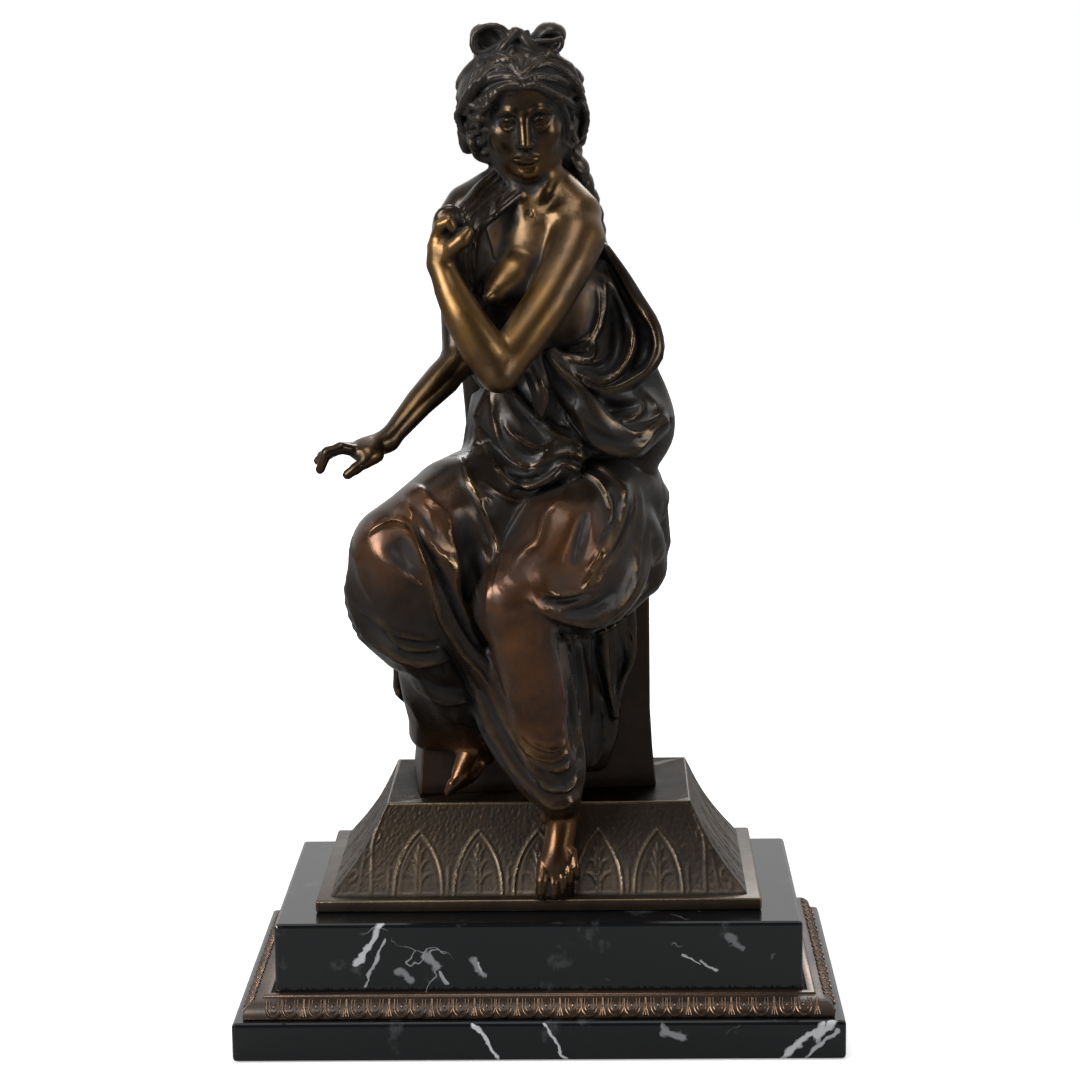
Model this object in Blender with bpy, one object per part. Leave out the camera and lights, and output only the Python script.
"""Bronze nymph seated on a pillar, on a two-step marble base. Metres, +Z up, front towards -Y."""

import math

import bmesh
import bpy
import numpy as np
from mathutils import Matrix, Vector

# Driving sizes, in metres
SLAB_WIDTH, SLAB_DEPTH, SLAB_HEIGHT = 0.330, 0.200, 0.0215
BLOCK_WIDTH, BLOCK_DEPTH, BLOCK_HEIGHT = 0.286, 0.160, 0.0487
EDGE_ROUND = 0.002
GAP = 0.0003

BORDER_INSET = 0.0055
BORDER_HEIGHT = 0.0108
BORDER_FILLET = 0.0045
EGG_PITCH = 0.0235
EGG_RELIEF = 0.0022
EGG_WIDE, EGG_TALL = 0.26, 0.36
DART_WIDE, DART_TALL = 0.07, 0.43
EGG_LEAN = math.radians(-42)

BASE_WIDTH, BASE_DEPTH = 0.244, 0.139
BASE_SHIFT = 0.009
LIP_HEIGHT, LIP_BAND = 0.0068, 0.0075
STAGE_WIDTH, STAGE_DEPTH = 0.168, 0.094
STAGE_RISE = 0.046
STAGE_SHIFT = 0.020
LEAF_WIDTH, LEAF_PITCH = 0.027, 0.0305
LEAF_RELIEF, LEAF_LINE = 0.0010, 0.0022
LEAF_SHARE, LEAF_ARCS = 0.74, 4

PILLAR_WIDTH, PILLAR_DEPTH = 0.128, 0.062
PILLAR_SIDE, PILLAR_SHIFT = -0.004, 0.029
PILLAR_TURN = math.radians(6.2)
PILLAR_FLARE, PILLAR_FLARE_RISE = 0.003, 0.045

FIGURE_HEIGHT = 0.472
SEAT_SHARE = 0.296

BLOCK_TOP = SLAB_HEIGHT + GAP + BLOCK_HEIGHT
BASE_FOOT = BLOCK_TOP + GAP
STAGE_TOP = BASE_FOOT + LIP_HEIGHT + STAGE_RISE
SEAT_RISE = SEAT_SHARE * FIGURE_HEIGHT

# The figure is laid out in parts of its height, as a viewer at EYE sees it on the plane y = 0
UNITS_TALL = 472.0
FLOOR_LINE = 123.5
EYE = np.array((36.0, -1529.0, 546.0))


# Clay: a grid of distances to the modelled surface, negative inside

class Clay:
    """A block of clay on a grid, added to and cut by soft shapes."""

    FAR = 30.0

    def __init__(self, low, high, cell):
        self.axes = [np.arange(a, b, cell, dtype=np.float32) for a, b in zip(low, high)]
        self.field = np.full([len(axis) for axis in self.axes], self.FAR, np.float32)

    def window(self, low, high):
        """Slices of the grid between two corners, and their coordinates."""
        cuts = tuple(
            slice(int(np.searchsorted(axis, a)), int(np.searchsorted(axis, b)))
            for axis, a, b in zip(self.axes, low, high)
        )
        return cuts, np.ix_(*(axis[cut] for axis, cut in zip(self.axes, cuts)))

    def blend(self, cuts, shape, soft, cut=False):
        """Joins a shape to the clay, or cuts it away, over a soft width."""
        clay = self.field[cuts]
        sign = -1.0 if cut else 1.0
        apart = np.abs(sign * clay - shape)
        swell = np.maximum(soft - apart, 0.0) ** 2 / (4.0 * soft)
        self.field[cuts] = sign * (np.minimum(sign * clay, shape) - swell)

    def ball(self, centre, radii, soft=6.0, frame=np.eye(3), cut=False, reach=14.0):
        """An ellipsoid whose own axes are the columns of a frame."""
        centre, radii = np.array(centre, float), np.array(radii, float)
        away = radii.max() + reach
        cuts, spots = self.window(centre - away, centre + away)
        frame = np.asarray(frame, np.float32)
        offset = [spot - np.float32(c) for spot, c in zip(spots, centre)]
        near, slope = 0.0, 0.0
        for k in range(3):
            local = sum(offset[j] * frame[j, k] for j in range(3)) / np.float32(radii[k])
            near = near + local ** 2
            slope = slope + (local / np.float32(radii[k])) ** 2
        near, slope = np.sqrt(near), np.sqrt(slope) + 1e-6
        self.blend(cuts, near * (near - 1.0) / slope, soft, cut)

    def tube(self, points, radii, soft=3.0, cut=False, reach=6.0):
        """A round rod through points, with a radius at each."""
        points, radii = np.asarray(points, float), np.broadcast_to(radii, len(points)).astype(float)
        away = radii.max() + reach
        cuts, _ = self.window(points.min(0) - away, points.max(0) + away)
        shape = np.full([c.stop - c.start for c in cuts], self.FAR, np.float32)
        for a, b, ra, rb in zip(points[:-1], points[1:], radii[:-1], radii[1:]):
            step = (b - a).astype(np.float32)
            wide = max(ra, rb) + reach
            part, spots = self.window(np.minimum(a, b) - wide, np.maximum(a, b) + wide)
            x, y, z = (spot - np.float32(c) for spot, c in zip(spots, a))
            along = (x * step[0] + y * step[1] + z * step[2]) / max(float(step @ step), 1e-6)
            along = np.clip(along, 0.0, 1.0)
            away_x, away_y, away_z = x - along * step[0], y - along * step[1], z - along * step[2]
            distance = np.sqrt(away_x ** 2 + away_y ** 2 + away_z ** 2)
            distance -= np.float32(ra) + along * np.float32(rb - ra)
            inner = tuple(slice(p.start - c.start, p.stop - c.start) for p, c in zip(part, cuts))
            shape[inner] = np.minimum(shape[inner], distance)
        self.blend(cuts, shape, soft, cut)

    def at(self, points):
        """The clay's distance value at each point."""
        points = np.asarray(points, float)
        places = []
        for k, axis in enumerate(self.axes):
            place = np.interp(points[..., k], axis, np.arange(len(axis)))
            places.append(np.clip(np.round(place).astype(int), 0, len(axis) - 1))
        return self.field[tuple(places)]

    def reach_from(self, starts, steps, travel, pace=0.75):
        """Where rays first meet the clay. Rays that miss end at the middle of their travel."""
        count = int(travel / pace)
        found = np.full(len(starts), travel / 2)
        open_rays = np.ones(len(starts), bool)
        for n in range(count):
            hit = open_rays & (self.at(starts + steps * (n * pace)) < 0)
            found[hit] = n * pace
            open_rays &= ~hit
        return found, open_rays


def curve(points, count):
    """Evenly spread samples of a smooth curve through points."""
    points = np.asarray(points, float)
    if len(points) == 2:
        points = np.array([points[0], points.mean(0), points[1]])
    ends = np.vstack([2 * points[0] - points[1], points, 2 * points[-1] - points[-2]])
    spots = []
    for a, b, c, d in zip(ends[:-3], ends[1:-2], ends[2:-1], ends[3:]):
        for t in np.linspace(0, 1, 12, endpoint=False):
            spots.append(0.5 * (2 * b + (c - a) * t + (2 * a - 5 * b + 4 * c - d) * t ** 2
                                + (3 * b - a - 3 * c + d) * t ** 3))
    spots = np.array(spots + [points[-1]])
    run = np.concatenate([[0], np.cumsum(np.linalg.norm(np.diff(spots, axis=0), axis=1))])
    marks = np.linspace(0, run[-1], count)
    return np.stack([np.interp(marks, run, spots[:, k]) for k in range(spots.shape[1])], 1)


def seen(x, z, depth):
    """The point at a depth that the viewer sees at (x, z) of the plane y = 0."""
    plane = np.array((x, 0.0, z))
    return EYE + (plane - EYE) * ((depth - EYE[1]) / -EYE[1])


def places(*triples):
    """Points from (x, z, depth) triples as the viewer sees them."""
    return np.array([seen(*triple) for triple in triples])


def turned(x=0.0, y=0.0, z=0.0):
    """A frame turned by degrees about x, then y, then z."""
    turns = [Matrix.Rotation(math.radians(a), 3, k) for a, k in ((z, "Z"), (y, "Y"), (x, "X"))]
    return np.array(turns[0] @ turns[1] @ turns[2])


SIDES = {"back": (1, 1.0), "left": (0, -1.0), "right": (0, 1.0)}


def lay(clay, line, side="front"):
    """Puts a flat line on the clay's surface. Returns the points and the way out of the clay."""
    line = np.asarray(line, float)
    if side == "front":
        plane = np.stack([line[:, 0], np.zeros(len(line)), line[:, 1]], 1)
        steps = plane - EYE
        steps /= np.linalg.norm(steps, axis=1)[:, None]
        starts = plane - steps * 130.0
    else:
        axis, sign = SIDES[side]
        starts = np.insert(line, axis, sign * 130.0, axis=1)
        steps = np.zeros_like(starts)
        steps[:, axis] = -sign
    found, missed = clay.reach_from(starts, steps, 260.0)
    if missed.all():
        return None, steps
    order = np.arange(len(line))
    found = np.interp(order, order[~missed], found[~missed])
    padded = np.pad(found, 2, mode="edge")
    found = sum(padded[k:k + len(found)] for k in range(5)) / 5
    return starts + steps * found[:, None], -steps


def folds(clay, first, last, count, thick, lift=0.3, soft=1.6, cut=False, side="front"):
    """Ridges, or grooves, that fill the space between two guide lines drawn on the clay."""
    samples = 16
    first, last = curve(first, samples), curve(last, samples)
    taper = 0.3 + 0.7 * np.sin(math.pi * np.linspace(0.03, 0.97, samples)) ** 0.6
    runs = []
    for share in np.linspace(0, 1, count) if count > 1 else [0.0]:
        run, out = lay(clay, first + (last - first) * share, side)
        if run is not None:
            runs.append(run + out * thick * (-lift if cut else lift))
    for run in runs:
        clay.tube(run, thick * taper, soft, cut, reach=4.0)


def sheet(clay, edges, count, thick, soft=3.0, samples=14):
    """Cloth spread between guide curves in space, as rods laid side by side."""
    edges = np.array([curve(edge, samples) for edge in edges])
    marks = np.linspace(0, len(edges) - 1, count)
    for mark in marks:
        k = min(int(mark), len(edges) - 2)
        line = edges[k] + (edges[k + 1] - edges[k]) * (mark - k)
        clay.tube(line, thick, soft)


# The figure's joints, as (x, z, depth) that the viewer sees
HIP_L, HIP_R = (37, 292, 16), (-8, 295, 12)
KNEE_L, KNEE_R = (-13, 231, -72), (-77, 261, -70)
ANKLE_L, ANKLE_R = (13, 112, -46), (-36, 152, -17)
SHOULDER_L, SHOULDER_R = (26, 434, -15), (-35, 442, 22)
ELBOW_L, ELBOW_R = (-19, 361, -54), (-41, 367, -10)
WRIST_L, WRIST_R = (-50, 421, -47), (-81, 323, -48)
THROAT, HEAD = (0, 453, 3), (-3, 497, 2)
HEAD_FRAME = turned(x=9.0, y=-3.0)


def trunk(clay):
    """Pelvis, waist, chest, shoulders and neck."""
    chest_frame = turned(y=-6.0, z=-24.0)
    clay.ball(seen(16, 298, 26), (40, 30, 34))
    clay.ball(seen(6, 345, 14), (30, 22, 34), 10)
    clay.ball(seen(0, 406, 6), (35, 25, 46), 10, chest_frame)
    collar = places(SHOULDER_R, (-15, 450, 12), THROAT, (15, 447, -2), SHOULDER_L)
    clay.tube(collar, (12, 13, 14, 13, 12), 8, reach=14)
    clay.tube(places(THROAT, (-2, 474, 3)), (13.5, 12.0), 5, reach=8)
    for spot, radii in (((-9, 409, -20), (14, 13, 15)), ((-31, 407, -6), (13, 13, 14))):
        clay.ball(seen(*spot), radii, 6, chest_frame)


def arms(clay):
    """Both arms as far as the wrists."""
    for joints, radii in (
        ((SHOULDER_L, (12, 407, -34), (-6, 380, -47), ELBOW_L), (14.0, 13.5, 12.5, 11.5)),
        ((ELBOW_L, (-33, 381, -55), (-44, 401, -53), WRIST_L), (11.5, 11.5, 9.5, 6.8)),
        ((SHOULDER_R, (-39, 405, 5), ELBOW_R), (13.5, 12.0, 9.5)),
        ((ELBOW_R, (-55, 352, -22), WRIST_R), (9.5, 9.5, 5.8)),
    ):
        clay.tube(places(*joints), radii, 4, reach=8)


def finger(clay, points, thick, soft=1.2):
    """A finger or toe through its joints, thinner towards the tip."""
    clay.tube(places(*points), np.linspace(thick, thick * 0.72, len(points)), soft)


def hands(clay):
    """The open hand by the knee, and the hand that holds the cloth."""
    clay.tube(places(WRIST_R, (-90, 319, -52), (-97, 318, -54)), (5.8, 7.2, 6.0), 4)
    for k, (tip_x, tip_z) in enumerate(((-119, 308), (-119, 313), (-117, 317), (-113, 318))):
        depth = -66 + 6.0 * k
        finger(clay, ((-97, 316 + k, depth + 7), (-108, 319 - 0.3 * k, depth), (tip_x, tip_z, depth)), 3.0)
    finger(clay, ((-88, 314, -57), (-95, 309, -64), (-103, 304, -66)), 3.2)
    clay.tube(places(WRIST_L, (-49, 433, -45), (-47, 441, -42)), (6.8, 8.0, 7.0), 4)
    for k in range(4):
        rise = 5.2 * k
        finger(clay, ((-47, 432 + rise, -44), (-42, 433 + rise, -51), (-35, 431 + rise, -46)), 3.0)
    finger(clay, ((-45, 427, -42), (-40, 433, -34), (-34, 440, -34)), 3.0)


def legs(clay):
    """Thighs, shins, ankles and feet."""
    for joints, radii in (
        ((HIP_L, (14, 264, -35), KNEE_L), (30, 26, 20)),
        ((KNEE_L, (-6, 200, -74), (6, 150, -58), ANKLE_L), (19, 19, 13, 8.5)),
        ((HIP_R, (-42, 281, -36), KNEE_R), (31, 28, 22)),
        ((KNEE_R, (-62, 212, -58), (-47, 176, -38), ANKLE_R), (21, 19, 13, 8.0)),
    ):
        clay.tube(places(*joints), radii, 8, reach=12)
    clay.tube(places(ANKLE_L, (10, 92, -52), (8, 74, -56)), (8.6, 8.6, 7.0), 4)
    clay.ball(seen(13, 104, -36), (7.5, 9, 10), 4)
    for k, (x, z) in enumerate(((-1, 63), (7, 62), (13, 65), (18, 69), (22, 74))):
        finger(clay, ((2 + 4.2 * k, z + 16, -57), (x + 1, z + 7, -62), (x, z, -62)), 4.3 if k == 0 else 3.1)
    clay.tube(places(ANKLE_R, (-40, 140, -22), (-46, 130, -27)), (8.0, 7.5, 5.5), 4)
    clay.ball(seen(-29, 143, -8), (6.5, 7.5, 8), 4)
    for k in range(5):
        foot = seen(-52 + 3.2 * k, 120 + 1.6 * k, -30 + 1.5 * k)
        heel = seen(-46 + 3.0 * k, 131 + 1.4 * k, -27 + 1.5 * k)
        clay.tube(np.array([heel, foot]), (3.4, 2.9), 1.5)


def head(clay):
    """Skull, face and neck line, in the head's own frame."""
    def at(x, y, z):
        return seen(*HEAD) + HEAD_FRAME @ np.array((x, y, z), float)

    clay.ball(at(0, 7, 10), (22.5, 27, 24), 6, HEAD_FRAME)
    clay.ball(at(0, -5, -8), (18.0, 19, 26), 8, HEAD_FRAME)
    clay.ball(at(0, -14, -26), (9.5, 9, 8), 7, HEAD_FRAME)
    clay.tube(np.array([at(0, -21.5, 2), at(0, -25.5, -9.5)]), (2.0, 2.9), 3)
    for side in (-1, 1):
        clay.ball(at(side * 8.6, -24.5, 1.0), (5.2, 4.5, 3.4), 2.5, HEAD_FRAME, cut=True)
        clay.ball(at(side * 8.4, -19.0, 0.6), (4.4, 4.0, 3.4), 1.5, HEAD_FRAME)
    clay.tube(np.array([at(-5, -22.6, -17.5), at(0, -24.6, -17.2), at(5, -22.6, -17.5)]), (1.2, 2.4, 1.2), 2)


def hair(clay):
    """Waved hair drawn back from a parting, a chignon, a plait and a bow on top."""
    def at(x, y, z):
        return seen(*HEAD) + HEAD_FRAME @ np.array((x, y, z), float)

    clay.ball(at(-1, 12, 15), (27, 27, 21), 4, HEAD_FRAME)
    clay.ball(at(0, 34, 2), (19, 14, 18), 6, HEAD_FRAME)
    for side in (-1, 1):
        for k in range(4):
            drop = 7.0 * k
            clay.tube(np.array([
                at(0, -14 + 2 * k, 29 - 0.4 * k),
                at(side * 13, -17 + 3 * k, 26 - drop * 0.9),
                at(side * 23, -9 + 3 * k, 19 - drop),
                at(side * 27, 3 + 2 * k, 8 - drop),
                at(side * 22, 18, 1 - drop * 0.6),
            ]), (2.2, 4.2, 5.0, 4.6, 3.5), 1.5)
        for k in range(3):
            clay.ball(at(side * (26.5 - 1.5 * k), -6 + 3 * k, -1 - 10 * k), (6.5, 6, 5.6), 2, HEAD_FRAME)
    plait = [at(21, 8, -20), at(26, 12, -32), at(30, 18, -44), at(33, 26, -60), at(30, 32, -78)]
    clay.tube(curve(plait, 10), (7.5, 8.5, 6.5, 8.0, 6.0, 7.5, 5.5, 6.5, 4.5, 3.5), 2)
    for points, thick in (
        (((-6, 541, 2), (-16, 551, -4), (-29, 545, -6), (-30, 535, -4), (-20, 534, 0), (-7, 541, 2)), 3.4),
        (((3, 541, 2), (9, 551, -2), (17, 547, -4), (19, 538, -4), (10, 535, -2), (3, 541, 2)), 3.4),
    ):
        clay.tube(curve(places(*points), 14), thick, 1.5)
    clay.ball(seen(-3, 541, 0), (5.5, 6, 4.5), 2.5)
    clay.tube(places((-18, 531, 4), (0, 533, 0), (13, 531, 3)), (5, 6, 5), 3)


def skirt(clay):
    """Cloth over the lap and legs, with its swags and hems."""
    clay.tube(places(HIP_R, (-42, 282, -36), KNEE_R), (33, 30, 24), 8, reach=12)
    clay.tube(places(HIP_L, (14, 265, -35), KNEE_L), (32, 28, 21), 8, reach=12)
    sheet(clay, (places((0, 292, 10), (-20, 275, -30), (-36, 252, -62)),
                 places((8, 285, 10), (-10, 262, -34), (-26, 238, -62))), 3, 13, 8)
    sheet(clay, (places((-92, 258, -74), (-99, 238, -68), (-90, 218, -62)),
                 places((-76, 255, -90), (-78, 232, -80), (-72, 212, -72)),
                 places((-52, 250, -78), (-52, 225, -66), (-50, 208, -60))), 7, 9, 7)
    sheet(clay, (places((-66, 270, -88), (-52, 221, -70), (-40, 201, -62), (-22, 177, -58), (-9, 165, -60)),
                 places((-36, 292, -30), (-28, 255, -54), (-24, 225, -64), (-14, 190, -66), (-6, 165, -62))),
          7, 6, 5)
    sheet(clay, (places((-68, 205, -52), (-66, 185, -36), (-58, 168, -22)),
                 places((-40, 200, -52), (-40, 180, -36), (-36, 165, -26))), 5, 12, 6)
    sheet(clay, (places((-38, 200, -50), (-29, 164, -46), (-16, 139, -46), (-1, 121, -48), (11, 113, -52)),
                 places((-12, 200, -76), (-6, 164, -66), (2, 140, -60), (8, 124, -58), (13, 116, -56)),
                 places((10, 205, -66), (16, 170, -54), (20, 145, -48), (20, 130, -46), (15, 117, -48))),
          9, 6, 5)
    sheet(clay, (places((50, 290, 0), (44, 262, -30), (26, 245, -56), (2, 240, -78)),
                 places((56, 262, -8), (50, 240, -30), (38, 228, -42), (24, 221, -56), (6, 226, -74))),
          6, 9, 6)
    clay.ball(seen(48, 284, 22), (20, 32, 30), 8)
    clay.tube(places((66, 285, 22), (66, 262, 18), (58, 240, 0), (46, 225, -18)), (7, 9, 8, 5), 5)
    clay.tube(places((55, 251, -18), (51, 236, -32), (41, 223, -44), (26, 215, -58), (10, 220, -74),
                     (-2, 228, -88)), (3.5, 4, 4.2, 4.2, 3.6, 2.5), 2)
    sheet(clay, (places((44, 222, -16), (42, 190, -14), (45, 163, -12)),
                 places((55, 228, -8), (54, 206, -8), (45, 186, -8))), 4, 4, 3)
    sheet(clay, (places((14, 215, -40), (18, 175, -26), (20, 138, -16)),
                 places((38, 215, -16), (38, 175, -10), (34, 140, -8))), 5, 7, 5)


def bodice(clay):
    """Cloth over the trunk, the strand held in the hand and the folds at the waist."""
    clay.tube(places((18, 412, 4), (14, 380, 2), (8, 345, 8), (10, 315, 16)), (22, 25, 29, 34), 8, reach=12)
    clay.tube(places((-30, 440, 16), (-29, 405, 0), (-18, 365, -4)), (15, 16, 18), 7, reach=12)
    sheet(clay, (places((-18, 468, 6), (-31, 458, -8), (-42, 440, -30)),
                 places((-10, 455, -8), (-24, 443, -18), (-38, 434, -34))), 4, 3.6, 2)
    sheet(clay, (places((-41, 432, -34), (-40, 405, -22), (-32, 372, -20)),
                 places((-34, 434, -30), (-30, 405, -18), (-24, 372, -20))), 3, 4.5, 3)
    clay.tube(places((0, 366, -36), (2, 350, -42), (4, 335, -40)), (5, 7.5, 2.5), 3)
    clay.tube(places((-24, 312, -20), (-7, 302, -36), (8, 311, -32), (24, 313, -24)), 4.2, 3)
    clay.ball(seen(-44, 312, -6), (10, 12, 8), 4)
    sheet(clay, (places((-20, 350, -20), (-2, 330, -26), (22, 318, -22)),
                 places((-26, 335, -18), (-8, 316, -28), (18, 304, -26))), 4, 6, 4)


def cloak(clay):
    """The mantle down her back, with the loops that swing out beside her."""
    sheet(clay, (places((-38, 438, 34), (-34, 390, 34), (-26, 330, 44)),
                 places((0, 448, 26), (4, 390, 36), (8, 320, 52)),
                 places((38, 432, 16), (46, 390, 26), (48, 330, 42))), 9, 9, 7)
    rim = places((40, 428, 6), (54, 409, 4), (67, 388, 0), (72, 374, -4), (68, 364, -8), (58, 354, -12))
    back = places((34, 425, 14), (44, 400, 20), (50, 380, 22), (50, 365, 18), (46, 355, 8), (42, 348, 0))
    sheet(clay, (rim, back), 5, 3.4, 2.5)
    low_rim = places((60, 358, -8), (69, 344, -10), (73, 334, -12), (70, 318, -14), (58, 306, -10))
    low_back = places((44, 352, 6), (50, 338, 10), (50, 326, 12), (46, 314, 8), (40, 306, 6))
    sheet(clay, (low_rim, low_back), 5, 4.2, 3)
    clay.tube(places((24, 340, -14), (33, 321, -20), (54, 313, -20), (71, 331, -14)), 3.6, 2.5)


def carving(clay):
    """The main folds, as ridges and grooves that follow the drawn lines of the cloth."""
    long_folds = (
        (((-64, 297), (-48, 280), (-43, 246), (-31, 215)), ((-69, 272), (-61, 249), (-51, 221), (-40, 201)), 3, 2.6),
        (((-49, 255), (-41, 231), (-30, 210), (-18, 179)), ((-36, 292), (-27, 262), (-24, 240), (-16, 200)), 3, 2.2),
    )
    for first, last, count, thick in long_folds:
        folds(clay, first, last, count, thick)


def sculpt(cell):
    """The whole figure in clay, on a grid of the given spacing."""
    clay = Clay((-128, -104, 66), (84, 84, 562), cell)
    for step in (trunk, legs, skirt, bodice, cloak, arms, hands, head, hair, carving):
        step(clay)
    return clay


# From clay to mesh

def close_corners(field):
    """Fills the checkered faces of the grid, where a surface would touch itself along an edge."""
    for _ in range(12):
        changed = 0
        for axes in ((0, 1), (0, 2), (1, 2)):
            def shifted(steps):
                return field[tuple(slice(steps.get(k, 0), field.shape[k] - 1 + steps.get(k, 0))
                                   if k in axes else slice(None) for k in range(3))]
            corners = [shifted({axes[0]: a, axes[1]: b}) for a, b in ((0, 0), (0, 1), (1, 0), (1, 1))]
            inside = [corner < 0 for corner in corners]
            checkered = (inside[0] & inside[3] & ~inside[1] & ~inside[2]) | (
                inside[1] & inside[2] & ~inside[0] & ~inside[3])
            changed += int(checkered.sum())
            for corner in corners:
                corner[checkered] = np.minimum(corner[checkered], -0.02)
        if not changed:
            break


def surface(clay):
    """Surface nets: a point in each cell that the surface crosses, a face across each crossed edge."""
    field = clay.field
    close_corners(field)
    inside = field < 0
    shape = np.array(field.shape) - 1
    corners = [(i, j, k) for i in (0, 1) for j in (0, 1) for k in (0, 1)]
    full = sum(inside[i:i + shape[0], j:j + shape[1], k:k + shape[2]].astype(np.uint8)
               for i, j, k in corners)
    cells = np.argwhere((full > 0) & (full < 8))
    number = np.full(shape, -1, np.int64)
    number[tuple(cells.T)] = np.arange(len(cells))
    total, hits = np.zeros((len(cells), 3)), np.zeros(len(cells))
    for axis in range(3):
        for start in (c for c in corners if c[axis] == 0):
            end = tuple(v + (k == axis) for k, v in enumerate(start))
            a = field[tuple((cells + start).T)]
            b = field[tuple((cells + end).T)]
            crossed = (a < 0) != (b < 0)
            share = np.where(crossed, a / np.where(crossed, a - b, 1.0), 0.0)
            spot = cells + np.array(start, float)
            spot[:, axis] += share
            total += spot * crossed[:, None]
            hits += crossed
    spots = total / hits[:, None]
    points = np.stack([np.interp(spots[:, k], np.arange(len(a)), a) for k, a in enumerate(clay.axes)], 1)
    faces = []
    for axis in range(3):
        first = [slice(1, -1)] * 3
        first[axis] = slice(0, -1)
        second = list(first)
        second[axis] = slice(1, None)
        a, b = inside[tuple(first)], inside[tuple(second)]
        edges = np.argwhere(a != b)
        outward = a[tuple(edges.T)]
        edges = edges + [int(k != axis) for k in range(3)]
        u, v = [k for k in range(3) if k != axis]
        ring = []
        for du, dv in ((-1, -1), (0, -1), (0, 0), (-1, 0)):
            cell = edges.copy()
            cell[:, u] += du
            cell[:, v] += dv
            ring.append(number[tuple(cell.T)])
        ring = np.stack(ring, 1)
        flip = outward if axis == 1 else ~outward
        ring[flip] = ring[flip][:, ::-1]
        faces.append(ring)
    return points, np.concatenate(faces)


def relax(points, faces, rounds, strength=0.5):
    """Evens out the grid's own steps without shrinking the form."""
    ends = np.concatenate([faces[:, [k, (k + 1) % 4]] for k in range(4)])
    ends = np.concatenate([ends, ends[:, ::-1]])
    degree = np.bincount(ends[:, 0], minlength=len(points))[:, None]
    for n in range(2 * rounds):
        mean = np.stack([np.bincount(ends[:, 0], points[ends[:, 1], k], len(points)) for k in range(3)], 1)
        points = points + (mean / degree - points) * (strength if n % 2 == 0 else -strength * 0.96)
    return points


def mesh_object(name, points, faces):
    mesh = bpy.data.meshes.new(name)
    mesh.from_pydata(points.tolist(), [], faces.tolist())
    mesh.validate()
    made = bpy.data.objects.new(name, mesh)
    bpy.context.collection.objects.link(made)
    return made


def only(obj):
    bpy.ops.object.select_all(action="DESELECT")
    obj.select_set(True)
    bpy.context.view_layer.objects.active = obj


def keep_largest(obj):
    """Drops loose crumbs and sealed hollows, so that one shell is left."""
    only(obj)
    bpy.ops.mesh.separate(type="LOOSE")
    parts = sorted(bpy.context.selected_objects, key=lambda part: -len(part.data.polygons))
    name = obj.name
    for part in parts[1:]:
        bpy.data.objects.remove(part)
    parts[0].name = name
    return parts[0]


def apply_modifier(obj, kind, **settings):
    only(obj)
    modifier = obj.modifiers.new(kind.title(), kind)
    for key, value in settings.items():
        setattr(modifier, key, value)
    bpy.ops.object.modifier_apply(modifier=modifier.name)


def to_world(points):
    """From figure units to metres, with the soles on the stage."""
    unit = FIGURE_HEIGHT / UNITS_TALL
    return points * unit + np.array((0.0, 0.0, STAGE_TOP - FLOOR_LINE * unit))


def build_figure(cell, triangles):
    points, faces = surface(sculpt(cell))
    figure = mesh_object("nymph_figure", to_world(relax(points, faces, 4)), faces)
    figure = keep_largest(figure)
    apply_modifier(figure, "TRIANGULATE")
    share = triangles / len(figure.data.polygons)
    if share < 1:
        apply_modifier(figure, "DECIMATE", ratio=share)
    return figure


# Marble and base

def finish_of(name, colour, roughness, metallic):
    material = bpy.data.materials.new(name)
    material.use_nodes = True
    shader = material.node_tree.nodes["Principled BSDF"]
    shader.inputs["Base Color"].default_value = (*colour, 1.0)
    shader.inputs["Roughness"].default_value = roughness
    shader.inputs["Metallic"].default_value = metallic
    return material


def box_mesh(name, low, high):
    """A plain box between two corners."""
    x0, y0, z0 = low
    x1, y1, z1 = high
    points = np.array([(x, y, z) for z in (z0, z1) for x, y in ((x0, y0), (x1, y0), (x1, y1), (x0, y1))])
    faces = np.array([(3, 2, 1, 0), (4, 5, 6, 7), (0, 1, 5, 4), (1, 2, 6, 5), (2, 3, 7, 6), (3, 0, 4, 7)])
    return mesh_object(name, points, faces)


def marble_step(name, width, depth, low, height):
    """A polished step with softened edges."""
    step = box_mesh(name, (-width / 2, -depth / 2, low), (width / 2, depth / 2, low + height))
    bevel = step.modifiers.new("Softened edges", "BEVEL")
    bevel.width, bevel.segments = EDGE_ROUND, 2
    return step


def rings_mesh(name, rings):
    """A closed solid through rectangles, each (half width, front, back, height), from the foot up."""
    points, faces = [], []
    for half, front, back, z in rings:
        points += [(-half, front, z), (half, front, z), (half, back, z), (-half, back, z)]
    for k in range(len(rings) - 1):
        low, high = 4 * k, 4 * k + 4
        faces += [(low + a, low + b, high + b, high + a) for a, b in ((0, 1), (1, 2), (2, 3), (3, 0))]
    last = 4 * len(rings) - 4
    faces += [(3, 2, 1, 0), (last, last + 1, last + 2, last + 3)]
    return mesh_object(name, np.array(points), np.array(faces))


def prism(outline_a, outline_b, low, high, frame):
    """Points and faces of a band between two lines, from one height to another over a slope."""
    origin, along, up, out = frame
    points, faces = [], []
    for height in (low, high):
        for line in (outline_a, outline_b):
            points += [origin + along * u + up * v + out * height for u, v in line]
    n = len(outline_a)
    low_a, low_b, high_a, high_b = 0, n, 2 * n, 3 * n
    for k in range(n - 1):
        faces += [(high_a + k, high_b + k, high_b + k + 1, high_a + k + 1),
                  (low_a + k, low_a + k + 1, low_b + k + 1, low_b + k),
                  (low_a + k, high_a + k, high_a + k + 1, low_a + k + 1),
                  (low_b + k, low_b + k + 1, high_b + k + 1, high_b + k)]
    faces += [(low_a, low_b, high_b, high_a),
              (low_a + n - 1, high_a + n - 1, high_b + n - 1, low_b + n - 1)]
    return points, faces


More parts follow.
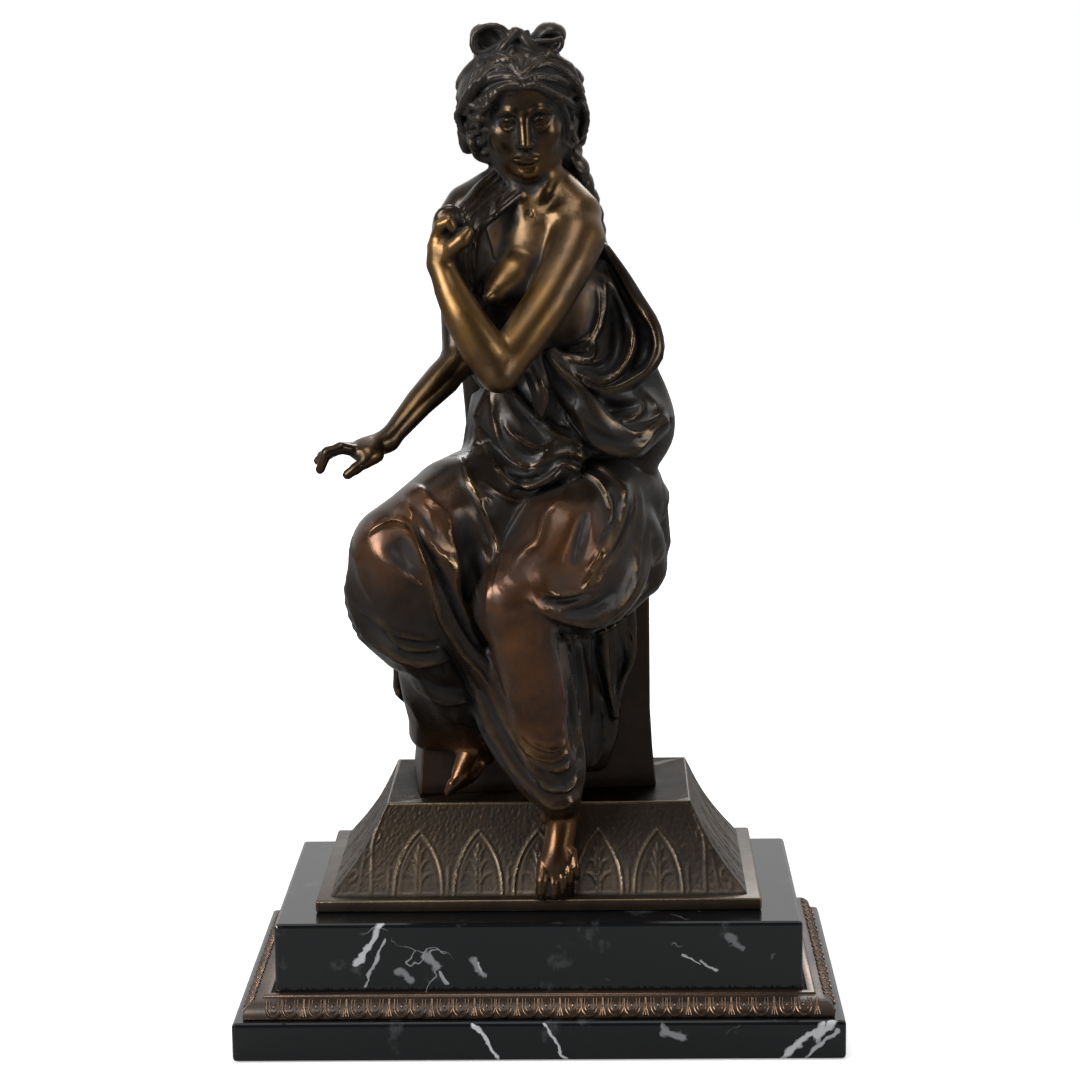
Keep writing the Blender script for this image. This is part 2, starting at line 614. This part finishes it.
def arch(half, tall):
    """A pointed arch as two arcs that meet at the tip."""
    right = [(half * (1 - t ** 2.2), tall * t ** 0.9) for t in np.linspace(0, 1, LEAF_ARCS + 1)]
    return [(-u, v) for u, v in right] + [(u, v) for u, v in reversed(right[:-1])]


def base_slopes():
    """The four slopes of the base: foot ends, top ends, seen from outside, left to right."""
    foot = (BASE_WIDTH / 2 - LIP_BAND, BASE_SHIFT - BASE_DEPTH / 2 + LIP_BAND,
            BASE_SHIFT + BASE_DEPTH / 2 - LIP_BAND, BASE_FOOT + LIP_HEIGHT)
    top = (STAGE_WIDTH / 2, STAGE_SHIFT - STAGE_DEPTH / 2, STAGE_SHIFT + STAGE_DEPTH / 2, STAGE_TOP)

    def corners(ring):
        half, front, back, z = ring
        return [np.array(c) for c in ((-half, front, z), (half, front, z), (half, back, z), (-half, back, z))]

    low, high = corners(foot), corners(top)
    return [(low[k], low[(k + 1) % 4], high[k], high[(k + 1) % 4]) for k in range(4)]


def leaf_band(grow=0.0):
    """The leaves of all four slopes, as one mesh of low bands, grown by a clearance."""
    points, faces = [], []
    for a, b, top_a, top_b in base_slopes():
        along = (b - a) / np.linalg.norm(b - a)
        up = (top_a + top_b - a - b) / 2
        up = up - along * (up @ along)
        tall = np.linalg.norm(up)
        up = up / tall
        out = np.cross(along, up)
        count = max(1, round(np.linalg.norm(top_b - top_a) / LEAF_PITCH))
        half, line = LEAF_WIDTH / 2 + grow, LEAF_LINE + 2 * grow
        height = LEAF_SHARE * tall
        for k in range(count):
            origin = (a + b) / 2 + along * (k - (count - 1) / 2) * LEAF_PITCH + up * (LEAF_RELIEF + grow)
            frame = (origin, along, up, out)
            shapes = [
                (arch(half, height), arch(half - line, height - 1.6 * line)),
                ([(-line / 2, GAP), (-line / 3, 0.62 * height)], [(line / 2, GAP), (line / 3, 0.62 * height)]),
            ]
            for outer, inner in shapes:
                new_points, new_faces = prism(outer, inner, -2 * LEAF_RELIEF, LEAF_RELIEF + grow, frame)
                faces += [tuple(i + len(points) for i in face) for face in new_faces]
                points += new_points
    made = mesh_object("leaf_band", np.array(points), np.array(faces))
    work = bmesh.new()
    work.from_mesh(made.data)
    bmesh.ops.recalc_face_normals(work, faces=work.faces)
    work.to_mesh(made.data)
    work.free()
    return made


def boolean(obj, other, operation):
    """Joins another solid to an object or cuts it away, and removes the other one."""
    apply_modifier(obj, "BOOLEAN", object=other, operation=operation, solver="EXACT")
    bpy.data.objects.remove(other)


def pillar_box(grow, foot, top):
    """The seat pillar, whose foot curves outwards, grown by a clearance."""
    half, deep = PILLAR_WIDTH / 2 + grow, PILLAR_DEPTH / 2 + grow
    levels = [(foot, PILLAR_FLARE)]
    levels += [(STAGE_TOP + t * PILLAR_FLARE_RISE, PILLAR_FLARE * (1 - t) ** 1.5) for t in (0.0, 0.25, 0.5, 1.0)]
    levels.append((top, 0.0))
    pillar = rings_mesh("pillar", [(half + out, -deep - out, deep + out, z) for z, out in levels])
    turn = Matrix.Rotation(PILLAR_TURN, 4, "Z")
    pillar.data.transform(Matrix.Translation((PILLAR_SIDE, PILLAR_SHIFT, 0)) @ turn)
    return pillar


def base_body(grow):
    """The sloped base without its leaves, grown by a clearance."""
    half, front, back = BASE_WIDTH / 2, BASE_SHIFT - BASE_DEPTH / 2, BASE_SHIFT + BASE_DEPTH / 2
    lip_top = BASE_FOOT + LIP_HEIGHT
    return rings_mesh("base", [
        (half + grow, front - grow, back + grow, BASE_FOOT - grow),
        (half + grow, front - grow, back + grow, lip_top + grow),
        (half - LIP_BAND + grow, front + LIP_BAND - grow, back - LIP_BAND + grow, lip_top + grow),
        (STAGE_WIDTH / 2 + grow, STAGE_SHIFT - STAGE_DEPTH / 2 - grow,
         STAGE_SHIFT + STAGE_DEPTH / 2 + grow, STAGE_TOP + grow),
    ])


def build_pedestal():
    """The sloped base with its leaves and the pillar, as one casting."""
    pedestal = base_body(0.0)
    pedestal.name = "bronze_pedestal"
    boolean(pedestal, leaf_band(), "UNION")
    boolean(pedestal, pillar_box(0.0, STAGE_TOP - PILLAR_ROOT, STAGE_TOP + SEAT_RISE), "UNION")
    return pedestal


def build_border():
    """The cast frame: a swept moulding with a row of beads and darts on its curved face."""
    inner = (BLOCK_WIDTH / 2 + GAP, BLOCK_DEPTH / 2 + GAP)
    outer = (SLAB_WIDTH / 2 - BORDER_INSET, SLAB_DEPTH / 2 - BORDER_INSET)
    foot = SLAB_HEIGHT + GAP
    reach = min(outer[0] - inner[0], outer[1] - inner[1])
    face = reach - BORDER_FILLET
    step = 0.17 * BORDER_HEIGHT
    section = [(0.0, 0.0), (0.0, step)]
    section += [(face * (1 - math.cos(t)), step + (0.84 * BORDER_HEIGHT - step) * math.sin(t))
                for t in np.linspace(0.15, math.pi / 2, 4)]
    section += [(face, BORDER_HEIGHT)]
    points = []
    for inward, rise in section + [(None, BORDER_HEIGHT), (None, 0.0)]:
        x, y = inner if inward is None else (outer[0] - inward, outer[1] - inward)
        points += [(-x, -y, foot + rise), (x, -y, foot + rise), (x, y, foot + rise), (-x, y, foot + rise)]
    rows = len(points) // 4
    faces = []
    for k in range(rows):
        low, high = 4 * k, 4 * ((k + 1) % rows)
        faces += [(low + a, low + b, high + b, high + a) for a, b in ((0, 1), (1, 2), (2, 3), (3, 0))]
    border = mesh_object("bronze_border", np.array(points), np.array(faces))
    beads = bmesh.new()
    for quarter in range(4):
        length = 2 * (outer[quarter % 2]) - 2 * face
        depth = outer[(quarter + 1) % 2]
        count = max(1, round(length / EGG_PITCH))
        pitch = length / count
        turn = Matrix.Rotation(quarter * math.pi / 2, 4, "Z")
        for k in range(count):
            middle = (k - (count - 1) / 2) * pitch
            for shift, wide, tall in ((0.0, EGG_WIDE, EGG_TALL), (0.5, DART_WIDE, DART_TALL)):
                rise = foot + step + 0.52 * (0.84 * BORDER_HEIGHT - step)
                spot = Vector((middle + shift * pitch, -depth + 0.36 * face, rise))
                size = Matrix.Diagonal((wide * pitch, EGG_RELIEF, tall * BORDER_HEIGHT, 1))
                lean = Matrix.Rotation(EGG_LEAN, 4, "X")
                bmesh.ops.create_icosphere(beads, subdivisions=1, radius=1.0,
                                           matrix=turn @ Matrix.Translation(spot) @ lean @ size)
    mesh = bpy.data.meshes.new("beads")
    beads.to_mesh(mesh)
    beads.free()
    other = bpy.data.objects.new("beads", mesh)
    bpy.context.collection.objects.link(other)
    boolean(border, other, "UNION")
    return border


def build_rest():
    """The four pieces under the figure."""
    slab = marble_step("marble_slab", SLAB_WIDTH, SLAB_DEPTH, 0.0, SLAB_HEIGHT)
    block = marble_step("marble_block", BLOCK_WIDTH, BLOCK_DEPTH, SLAB_HEIGHT + GAP, BLOCK_HEIGHT)
    black = finish_of("black_marble", (0.012, 0.013, 0.014), 0.12, 0.0)
    brown = finish_of("brown_bronze", (0.11, 0.055, 0.03), 0.38, 1.0)
    border, pedestal = build_border(), build_pedestal()
    for piece, material in ((slab, black), (block, black), (border, brown), (pedestal, brown)):
        piece.data.materials.append(material)


FIGURE_CELL = 2.0
FIGURE_TRIANGLES = 5000
PILLAR_ROOT, FIGURE_ROOT = 0.004, 0.020


def main():
    """Builds all five pieces."""
    for obj in list(bpy.data.objects):
        bpy.data.objects.remove(obj)
    build_rest()
    figure = build_figure(FIGURE_CELL, FIGURE_TRIANGLES)
    boolean(figure, base_body(GAP), "DIFFERENCE")
    boolean(figure, leaf_band(GAP), "DIFFERENCE")
    boolean(figure, pillar_box(GAP, STAGE_TOP - FIGURE_ROOT, STAGE_TOP + SEAT_RISE + GAP), "DIFFERENCE")
    figure = keep_largest(figure)
    figure.data.materials.append(finish_of("figure_bronze", (0.16, 0.075, 0.035), 0.33, 1.0))
    for piece in bpy.data.objects:
        piece.data.shade_smooth()
        piece.data.set_sharp_from_angle(angle=math.radians(40))


main()
